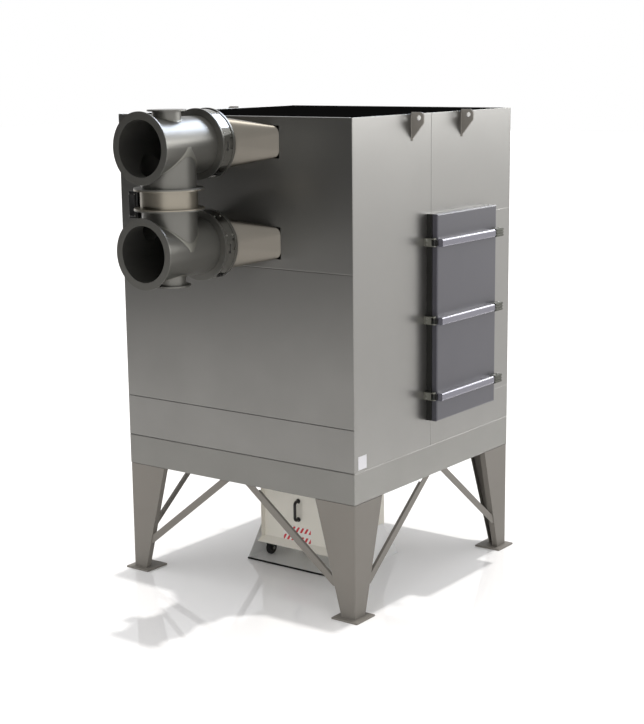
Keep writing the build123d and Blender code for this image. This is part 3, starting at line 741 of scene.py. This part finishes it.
class ColourSettings(bpy.types.PropertyGroup):
    """Paint colours, each as an sRGB hex code."""

    cabinet: bpy.props.StringProperty(
        name="Cabinet colour", description="Paint of the cabinet's walls", default="#878683", maxlen=7,
    )
    door: bpy.props.StringProperty(
        name="Door colour", description="Paint of the door's leaf", default="#46454C", maxlen=7,
    )
    bin: bpy.props.StringProperty(
        name="Bin colour", description="Paint of the dust bin", default="#EFEBE0", maxlen=7,
    )


class EXTRACTOR_OT_cad_finishes(bpy.types.Operator):
    """Finishes for the CAD nodes that keep their own shape"""

    bl_idname = "extractor.cad_finishes"
    bl_label = "CAD Finishes"

    def execute(self, context):
        for name, nodes in NODE_FINISHES.items():
            for node in nodes:
                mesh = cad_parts[node].data
                mesh.materials.clear()
                mesh.materials.append(finish(name))
        return {"FINISHED"}


class DuctSettings(bpy.types.PropertyGroup):
    """Welds of the ducts."""

    weld_leg: bpy.props.FloatProperty(
        name="Weld leg", description="Leg of the saddle welds", default=0.006, unit="LENGTH",
    )


class EXTRACTOR_OT_saddle_welds(bpy.types.Operator):
    """Weld beads where the branches meet the runs, and round the spigots"""

    bl_idname = "extractor.saddle_welds"
    bl_label = "Saddle Welds"

    def execute(self, context):
        leg = context.scene.extractor_ducts.weld_leg
        # Each pipe's outer radius, its side of the run, and the length of rod that its bead is cut from.
        pipes = (("branch", branch_radius, 1, 0.2), ("spigot", spigot_radius, -1, 0.23))
        for name, axis, side in (("upper", upper_axis, -1), ("lower", lower_axis, 1)):
            middle = at(0, branch_middle, axis)
            for kind, radius, hand, reach in pipes:
                half_way = middle + Vector((0, 0, hand * side * reach / 2))
                bead = start_round(name + "_" + kind + "_weld", half_way, radius + leg, reach, sides=96)
                skin = start_round("run_skin", middle, run_radius + leg * 0.7, 0.6, (90, 0, 0), 96)
                solid_cut(bead, skin, "INTERSECT")
                core = start_round("run_core", middle, run_radius - skin_overlap, 0.7, (90, 0, 0), 96)
                solid_cut(bead, core, "DIFFERENCE")
                bore = start_round("pipe_core", middle, radius - skin_overlap, 0.6, sides=96)
                solid_cut(bead, bore, "DIFFERENCE")
                outward(bead)
                soften(bead, leg * 0.25, 1)
                dress(bead, "cabinet", "duct_steel", finish("flange_rolled_steel"))
        return {"FINISHED"}


class EXTRACTOR_OT_collar_fittings(bpy.types.Operator):
    """Keyholes, screws and toggles on the two polished collars"""

    bl_idname = "extractor.collar_fittings"
    bl_label = "Collar Fittings"

    def execute(self, context):
        for name, axis in (("upper", upper_axis), ("lower", lower_axis)):
            middle = at(0, collar_middle, axis)
            # Keyhole: a slim slot with a wider foot, let into the drum's door side, drawn as a near-black
            # insert: painted shade for the dark inside of the hole.
            slot = start_block(
                name + "_keyhole",
                middle + Vector((0.2225, -0.012, -0.034)), middle + Vector((0.2255, -0.006, 0.02)),
            )
            soften(slot, 0.002, 2)
            foot = start_round(
                name + "_keyhole_foot", middle + Vector((0.224, -0.009, -0.034)),
                0.006, 0.0035, (0, 90, 0), 20,
            )
            edit_faces(foot, lambda centre, normal: normal.x > 0.9)
            inset(0.0015, -0.0008)
            leave_edit()
            slot = joined(name + "_keyhole", [slot, foot])
            dress(slot, "cabinet", "collar_steel", finish("black_rubber_and_shade"))

            screw = start_round(name + "_collar_screws", Vector((0, 0, 0.002)), 0.006, 0.004, sides=20)
            edit_faces(screw, lambda centre, normal: normal.z > 0.9)
            inset(0.0012, 0.0008)
            bpy.ops.mesh.inset(thickness=0.002, depth=-0.0016)
            leave_edit()
            soften(screw, 0.0004, 1)
            places = []
            for angle in range(20, 340, 40):
                for shift in (-0.028, 0.028):
                    turn = Matrix.Rotation(math.radians(-angle), 4, "Y")
                    move = Matrix.Translation(middle + Vector((0, shift, 0))) @ turn
                    places.append(move @ Matrix.Translation((drum_radius, 0, 0)) @ facing((1, 0, 0)))
            screws = spread(name + "_collar_screws", screw, places)
            dress(screws, "cabinet", "collar_steel", finish("bolt_zinc"))

            # Toggle: hook plate, lever and loop under the drum.
            plate = start_block(
                name + "_toggle", Vector((-0.014, -0.036, 0)), Vector((0.014, 0.036, 0.004))
            )
            soften(plate, 0.0012, 2)
            lever = start_block("lever", Vector((-0.009, -0.026, 0.004)), Vector((0.009, 0.012, 0.013)))
            edit_faces(lever, lambda centre, normal: normal.z > 0.9)
            inset(0.003, -0.003)
            leave_edit()
            soften(lever, 0.0012, 2)
            loop = start_round("loop", Vector((0, 0.02, 0.009)), 0.003, 0.03, (90, 0, 0), 16)
            soften(loop, 0.0008, 1)
            toggle = joined(name + "_toggle", [plate, lever, loop])
            spots = [
                Matrix.Translation(middle) @ Matrix.Rotation(math.radians(angle), 4, "Y")
                @ Matrix.Translation((drum_radius, 0, 0)) @ facing((1, 0, 0))
                @ Matrix.Rotation(math.radians(90), 4, "Z")
                for angle in (58, 238)
            ]
            toggles = spread(name + "_toggles", toggle, spots)
            dress(toggles, "cabinet", "collar_steel", finish("near_black_gloss"))
        return {"FINISHED"}


class DriveSettings(bpy.types.PropertyGroup):
    """The damper drive's small parts."""

    lid_rise: bpy.props.FloatProperty(
        name="Lid rise", description="How far the lid stands off the housing",
        default=0.006, unit="LENGTH",
    )
    gland_radius: bpy.props.FloatProperty(
        name="Gland radius", description="Radius of the cable gland", default=0.011, unit="LENGTH",
    )


class EXTRACTOR_OT_drive_parts(bpy.types.Operator):
    """Lid, screws, cable gland and shaft of the damper drive"""

    bl_idname = "extractor.drive_parts"
    bl_label = "Drive Parts"

    def execute(self, context):
        settings = context.scene.extractor_drive
        low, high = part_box("damper_drive")
        left = low.x
        front = low.y
        lid = start_block(
            "drive_lid", Vector((left + 0.012, front - settings.lid_rise, low.z + 0.01)),
            Vector((left + 0.07, front, high.z - 0.01)),
        )
        edit_faces(lid, lambda centre, normal: normal.y < -0.9)
        inset(0.006, 0.0015)
        bpy.ops.mesh.inset(thickness=0.004, depth=-0.001)
        leave_edit()
        soften(lid, 0.002, 3)
        dress(lid, "cabinet", "drive_housing", finish("drive_abs"))

        screw = hex_bolt("drive_screws", 0.0035, 0.003)
        places = [
            Matrix.Translation(Vector((x, front - settings.lid_rise, z))) @ facing((0, -1, 0))
            for x in (left + 0.018, left + 0.064) for z in (low.z + 0.017, high.z - 0.017)
        ]
        dress(spread("drive_screws", screw, places), "cabinet", "drive_housing", finish("bolt_zinc"))

        middle = Vector((left + 0.041, (low.y + high.y) / 2, low.z))
        gland = start_round(
            "cable_gland", middle - Vector((0, 0, 0.007)), settings.gland_radius, 0.014, sides=8
        )
        edit_faces(gland, lambda centre, normal: normal.z < -0.9)
        inset(0.002, 0.003)
        bpy.ops.mesh.inset(thickness=0.003, depth=-0.004)
        leave_edit()
        soften(gland, 0.0008, 2)
        nut = start_round(
            "gland_nut", middle - Vector((0, 0, 0.003)), settings.gland_radius * 1.25, 0.006, sides=6
        )
        soften(nut, 0.0008, 1)
        gland = joined("cable_gland", [gland, nut])
        dress(gland, "cabinet", "drive_housing", finish("handle_polyamide"))

        # The damper's shaft end shows as a grey pin between housing and coupling.
        pin = start_round(
            "damper_shaft", at(-206, branch_middle - 22, 2833), 0.008, 0.044, (0, 90, 0), 24
        )
        edit_faces(pin, lambda centre, normal: normal.x < -0.9)
        inset(0.0015, 0.001)
        leave_edit()
        soften(pin, 0.0008, 2)
        dress(pin, "cabinet", "drive_housing", finish("bolt_zinc"))
        return {"FINISHED"}


class DoorSettings(bpy.types.PropertyGroup):
    """Seal and fasteners of the door."""

    seal_width: bpy.props.FloatProperty(
        name="Seal width", description="Width of the seal behind the leaf", default=0.014, unit="LENGTH",
    )
    screw_size: bpy.props.FloatProperty(
        name="Screw size", description="Half the width across a clamp screw's corners",
        default=0.006, unit="LENGTH",
    )


class EXTRACTOR_OT_door_parts(bpy.types.Operator):
    """Door seal, clamp screws and bracket screws"""

    bl_idname = "extractor.door_parts"
    bl_label = "Door Parts"

    def execute(self, context):
        settings = context.scene.extractor_door
        low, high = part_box("door_leaf")
        edge = 0.006
        seal = start_block(
            "door_seal", Vector((low.x - 0.0046, low.y + edge, low.z + edge)),
            Vector((low.x - 0.0002, high.y - edge, high.z - edge)),
        )
        inner = edge + settings.seal_width
        room = start_block(
            "seal_room", Vector((low.x - 0.1, low.y + inner, low.z + inner)),
            Vector((low.x + 0.1, high.y - inner, high.z - inner)),
        )
        solid_cut(seal, room, "DIFFERENCE")
        outward(seal)
        soften(seal, 0.0014, 2)
        dress(seal, "door", "collar_steel", finish("black_rubber_and_shade"))

        clamp_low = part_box("bar_clamps")[0]
        screw = hex_bolt("clamp_screws", settings.screw_size, settings.screw_size * 0.7)
        places = []
        for height in bar_heights:
            for step in (26, 78):
                spot = Vector((clamp_low.x + 0.026, clamp_low.y + step / 1000, at(0, 0, height + 28.5).z))
                places.append(Matrix.Translation(spot))
        dress(spread("clamp_screws", screw, places), "door", "bracket_steel", finish("bolt_zinc"))

        bracket_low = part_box("hinge_brackets")[0]
        screw = hex_bolt("bracket_screws", settings.screw_size, settings.screw_size * 0.7)
        places = []
        for height in bar_heights:
            for step in (-13, 13):
                spot = Vector((bracket_low.x + 0.02, bracket_low.y, at(0, 0, height + step).z))
                places.append(Matrix.Translation(spot) @ facing((0, -1, 0)))
        dress(spread("bracket_screws", screw, places), "cabinet", "bracket_steel", finish("bolt_zinc"))
        return {"FINISHED"}


class CabinetSettings(bpy.types.PropertyGroup):
    """Plates and welds on the cabinet."""

    plate_width: bpy.props.FloatProperty(
        name="Plate width", description="Width of the blank rating plate", default=0.096, unit="LENGTH",
    )
    plate_height: bpy.props.FloatProperty(
        name="Plate height", description="Height of the blank rating plate", default=0.09, unit="LENGTH",
    )
    weld_radius: bpy.props.FloatProperty(
        name="Weld radius", description="Radius of the lug welds", default=0.0055, unit="LENGTH",
    )


class EXTRACTOR_OT_cabinet_parts(bpy.types.Operator):
    """Blank rating plate with rivets, and weld beads beside the lifting lugs"""

    bl_idname = "extractor.cabinet_parts"
    bl_label = "Cabinet Parts"

    def execute(self, context):
        settings = context.scene.extractor_cabinet
        corner = at(*rating_plate_corner)
        plate = start_block(
            "rating_plate", corner, corner + Vector((0.0012, settings.plate_width, settings.plate_height))
        )
        edit_faces(plate, lambda centre, normal: normal.x > 0.9)
        inset(0.003, 0.0003)
        leave_edit()
        soften(plate, 0.0003, 1)
        rivet = start_round("rating_rivets", Vector((0, 0, 0.0006)), 0.002, 0.0012, sides=16)
        edit_faces(rivet, lambda centre, normal: normal.z > 0.9)
        inset(0.0008, 0.0005)
        leave_edit()
        places = [
            Matrix.Translation(corner + Vector((0.0012, y, z))) @ facing((1, 0, 0))
            for y in (0.007, settings.plate_width - 0.007) for z in (0.007, settings.plate_height - 0.007)
        ]
        rivets = spread("rating_rivets", rivet, places)
        dress(rivets, "cabinet", "cabinet_steel", finish("bolt_zinc"))
        dress(plate, "cabinet", "cabinet_steel", finish("plate_enamel"))

        bead = weld_bead("lug_welds", 0.168, settings.weld_radius)
        places = []
        for side in (-1, 1):
            for along in (-315, 315):
                for face in (-6, 6):
                    places.append(Matrix.Translation(at(side * 1000, along + face, 3145)))
        dress(spread("lug_welds", bead, places), "cabinet", "leg_steel", finish("leg_powder_coat"))
        return {"FINISHED"}


class BinSettings(bpy.types.PropertyGroup):
    """Striped plate and rim of the dust bin, and the strip of painted shade before its tray."""

    stripe_width: bpy.props.FloatProperty(
        name="Plate width", description="Width of the striped plate", default=0.26, unit="LENGTH",
    )
    # The strip before the tray is painted shade: a dark line for the shadow under the tray's front edge.
    shade_strip_depth: bpy.props.FloatProperty(
        name="Stop depth", description="Depth of the rubber stop before the tray",
        default=0.007, unit="LENGTH",
    )
    shade_strip_height: bpy.props.FloatProperty(
        name="Stop height", description="Height of the rubber stop before the tray",
        default=0.013, unit="LENGTH",
    )
    rim_height: bpy.props.FloatProperty(
        name="Rim height", description="Height of the rubber lip on the bin's rim",
        default=0.012, unit="LENGTH",
    )


class EXTRACTOR_OT_bin_parts(bpy.types.Operator):
    """Striped plate without lettering, rubber rim, handle feet and a strip of painted shade before the
    tray
    """

    bl_idname = "extractor.bin_parts"
    bl_label = "Bin Parts"

    def execute(self, context):
        settings = context.scene.extractor_bin
        # The bin's walls stand this far from the middle, in millimetres, and its front faces -Y.
        half_width = 340
        half_depth = 280
        # The striped plate sits a little left of the middle, low on the front.
        plate_middle = -30
        margin = 4
        stripe_height = 40
        half = settings.stripe_width * 500
        plate = start_block(
            "bin_plate",
            at(plate_middle - half, -half_depth - 1.2, 176), at(plate_middle + half, -half_depth, 294),
        )
        edit_faces(plate, lambda centre, normal: normal.y < -0.9)
        inset(0.002, 0.0002)
        leave_edit()
        soften(plate, 0.0003, 1)
        dress(plate, "bin", "bin_steel", finish("label_enamel"))
        for name, foot in (("upper_stripes", 250), ("lower_stripes", 180)):
            band = start_block(
                name, at(plate_middle + margin - half, -half_depth - 1.9, foot),
                at(plate_middle - margin + half, -half_depth - 1.3, foot + stripe_height),
            )
            edit_faces(band, lambda centre, normal: normal.y < -0.9)
            inset(0.001, 0.0001)
            leave_edit()
            soften(band, 0.0002, 1)
            dress(band, "bin", "bin_steel", finish("stripe_print"))

        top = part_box("bin_sheets")[1].z
        # The lip reaches 4 mm past the walls and 3 mm into the bin, and sits over the walls' top edge.
        rim = start_block(
            "bin_rim", at(-half_width - 4, -half_depth - 4, 0),
            at(half_width + 4, half_depth + 4, 0) + Vector((0, 0, settings.rim_height)),
        )
        room = start_block(
            "rim_room", at(3 - half_width, 3 - half_depth, -10), at(half_width - 3, half_depth - 3, 50)
        )
        solid_cut(rim, room, "DIFFERENCE")
        rim.data.transform(Matrix.Translation((0, 0, top - settings.rim_height * 0.4)))
        wall = start_block("wall_room", at(-340.2, -280.2, 700), at(340.2, 280.2, 750.1))
        inner = start_block("inner_room", at(-336.8, -276.8, 690), at(336.8, 276.8, 760))
        solid_cut(wall, inner, "DIFFERENCE")
        solid_cut(rim, wall, "DIFFERENCE")
        outward(rim)
        soften(rim, 0.0012, 2)
        dress(rim, "bin", "bin_steel", finish("black_rubber_and_shade"))

        low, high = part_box("docking_tray")
        # A near-black strip along the tray's front edge: painted shade for the shadow line under it.
        stop = start_block(
            "tray_shade_strip", Vector((low.x, low.y - settings.shade_strip_depth, low.z)),
            Vector((high.x, low.y - 0.0002, low.z + settings.shade_strip_height)),
        )
        edit_faces(stop, lambda centre, normal: normal.y < -0.9)
        inset(0.003, -0.0015)
        leave_edit()
        soften(stop, 0.001, 2)
        dress(stop, "cabinet", "tray_steel", finish("black_rubber_and_shade"))

        foot = start_round("handle_feet", Vector((0, 0, 0.002)), 0.018, 0.004, sides=28)
        edit_faces(foot, lambda centre, normal: normal.z > 0.9)
        inset(0.003, 0.002)
        leave_edit()
        soften(foot, 0.0008, 2)
        places = [Matrix.Translation(at(-16, -280, z)) @ facing((0, -1, 0)) for z in (351, 491)]
        dress(spread("handle_feet", foot, places), "bin", "handle_plastic", finish("handle_polyamide"))
        return {"FINISHED"}


class EXTRACTOR_OT_caster_parts(bpy.types.Operator):
    """Axle nuts on the forks, hub rings on the wheels and pad screws on the bin"""

    bl_idname = "extractor.caster_parts"
    bl_label = "Caster Parts"

    def execute(self, context):
        for name, (x, y) in caster_places.items():
            axle = at(x, y + 26, 56.3)
            nut = hex_bolt("nut", 0.0085, 0.006)
            places = [
                Matrix.Translation(axle + Vector((side * 0.024, 0, 0))) @ facing((side, 0, 0))
                for side in (-1, 1)
            ]
            nuts = spread("caster_nuts_" + name, nut, places)
            dress(nuts, "caster_%s_swivel" % name, "caster_steel", finish("bolt_zinc"))

            ring = start_round("ring", Vector((0, 0, 0.0008)), 0.03, 0.0016, sides=40)
            edit_faces(ring, lambda centre, normal: abs(normal.z) > 0.9)
            inset(0.01, 0.0)
            bpy.ops.mesh.delete(type="FACE")
            leave_edit()
            make_active(ring)
            apply_modifier(ring, "SOLIDIFY", thickness=0.0008, offset=0.0)
            outward(ring)
            places = [
                Matrix.Translation(axle + Vector((side * 0.0122, 0, 0))) @ facing((side, 0, 0))
                for side in (-1, 1)
            ]
            rings = spread("hub_rings_" + name, ring, places)
            dress(rings, "caster_%s_wheel" % name, "caster_tyre", finish("caster_black_zinc"))
        screw = hex_bolt("pad_screws", 0.006, 0.004)
        places = []
        for x, y in caster_places.values():
            for dx in (-35, 35):
                for dy in (-35, 35):
                    places.append(Matrix.Translation(at(x + dx, y + dy, 126)) @ facing((0, 0, -1)))
        dress(spread("pad_screws", screw, places), "bin", "caster_steel", finish("bolt_zinc"))
        return {"FINISHED"}


STEPS = (
    EXTRACTOR_OT_stage, EXTRACTOR_OT_cad_finishes, EXTRACTOR_OT_saddle_welds,
    EXTRACTOR_OT_collar_fittings, EXTRACTOR_OT_drive_parts, EXTRACTOR_OT_door_parts,
    EXTRACTOR_OT_cabinet_parts, EXTRACTOR_OT_bin_parts, EXTRACTOR_OT_caster_parts,
)

# Where each group of settings is kept on the scene.
GROUPS = {
    "extractor_stage": StageSettings,
    "extractor_colours": ColourSettings,
    "extractor_ducts": DuctSettings,
    "extractor_drive": DriveSettings,
    "extractor_door": DoorSettings,
    "extractor_cabinet": CabinetSettings,
    "extractor_bin": BinSettings,
}


class EXTRACTOR_PT_sidebar(bpy.types.Panel):
    """Sizes, colours, lights and one button for each group of pieces"""

    bl_idname = "EXTRACTOR_PT_sidebar"
    bl_label = "Dust Extractor"
    bl_space_type = "VIEW_3D"
    bl_region_type = "UI"
    bl_category = "Dust Extractor"

    def draw(self, context):
        layout = self.layout
        for key in GROUPS:
            group = getattr(context.scene, key)
            for name in group.bl_rna.properties.keys():
                if name not in ("rna_type", "name"):
                    layout.prop(group, name)
        for step in STEPS:
            layout.operator(step.bl_idname)


CLASSES = tuple(GROUPS.values()) + STEPS + (EXTRACTOR_PT_sidebar,)


def register():
    for made in CLASSES:
        bpy.utils.register_class(made)
    for key, group in GROUPS.items():
        setattr(bpy.types.Scene, key, bpy.props.PointerProperty(type=group))


def unregister():
    for key in GROUPS:
        delattr(bpy.types.Scene, key)
    for made in reversed(CLASSES):
        bpy.utils.unregister_class(made)


def main():
    """Builds everything in order."""
    register()
    bpy.ops.extractor.stage()
    bpy.ops.extractor.cad_finishes()
    bpy.ops.extractor.saddle_welds()
    bpy.ops.extractor.collar_fittings()
    bpy.ops.extractor.drive_parts()
    bpy.ops.extractor.door_parts()
    bpy.ops.extractor.cabinet_parts()
    bpy.ops.extractor.bin_parts()
    bpy.ops.extractor.caster_parts()


if __name__ == "__main__":
    main()
